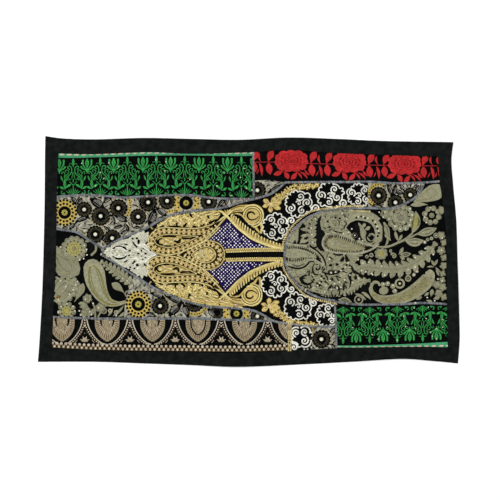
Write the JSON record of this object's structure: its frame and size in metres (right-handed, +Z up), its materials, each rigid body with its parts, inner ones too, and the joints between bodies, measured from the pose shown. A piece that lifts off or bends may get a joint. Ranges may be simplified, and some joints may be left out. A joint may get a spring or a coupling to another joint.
{
  "type": "embroidered patchwork panel",
  "caption": "Flat oblong textile panel of embroidered patches on a black ground cloth, framed by its wide turned hem with mitred corners.",
  "frame": {"origin": "middle of the panel's bounding box, on the surface that it lies on", "axes": "+X along the long side to the right, +Y along the short side to the top of the design, +Z up out of the face"},
  "size_m": [1.0162, 0.556, 0.0062],
  "materials": {
    "black_cloth": "plain black satin-weave ground cloth, its margins turned over as the hem",
    "green_border_upper": "black cloth densely embroidered in green silk with small beads, pale woven selvedge",
    "rose_border": "black cloth embroidered with red roses in flat silk stitch",
    "flower_strip_upper": "silver-grey cloth embroidered with black pinwheel flowers, leaves and pearls",
    "flower_scrap_top": "silver-grey cloth embroidered with a black pinwheel flower and a leaf",
    "yoke": "black cloth embroidered in raised gold thread, with cream scrolls and purple dotted insets",
    "flower_scrap_right": "grey cloth embroidered with black pinwheel flowers and pearls",
    "paisley_cloth_right": "black cloth embroidered with olive-grey paisleys, sequins and pearls",
    "paisley_cloth_left": "black cloth embroidered with olive-grey paisleys, sequins and pearls",
    "flower_strip_lower": "silver-grey cloth embroidered with black flowers and a dotted gold ring",
    "arch_border": "black cloth embroidered with beige feathered arches and dotted triangles",
    "scroll_scrap": "black cloth embroidered with cream scrolls",
    "flower_scrap_bottom": "black cloth embroidered with a dark pinwheel flower and cream sprigs",
    "green_border_lower": "black cloth densely embroidered in green silk with beads, pale woven selvedge"
  },
  "bodies": {
    "root": {"black_cloth": "black_cloth", "green_border_upper": "green_border_upper", "rose_border": "rose_border", "flower_strip_upper": "flower_strip_upper", "flower_scrap_top": "flower_scrap_top", "yoke": "yoke", "flower_scrap_right": "flower_scrap_right", "paisley_cloth_right": "paisley_cloth_right", "paisley_cloth_left": "paisley_cloth_left", "flower_strip_lower": "flower_strip_lower", "arch_border": "arch_border", "scroll_scrap": "scroll_scrap", "flower_scrap_bottom": "flower_scrap_bottom", "green_border_lower": "green_border_lower"}
  },
  "joints": []
}
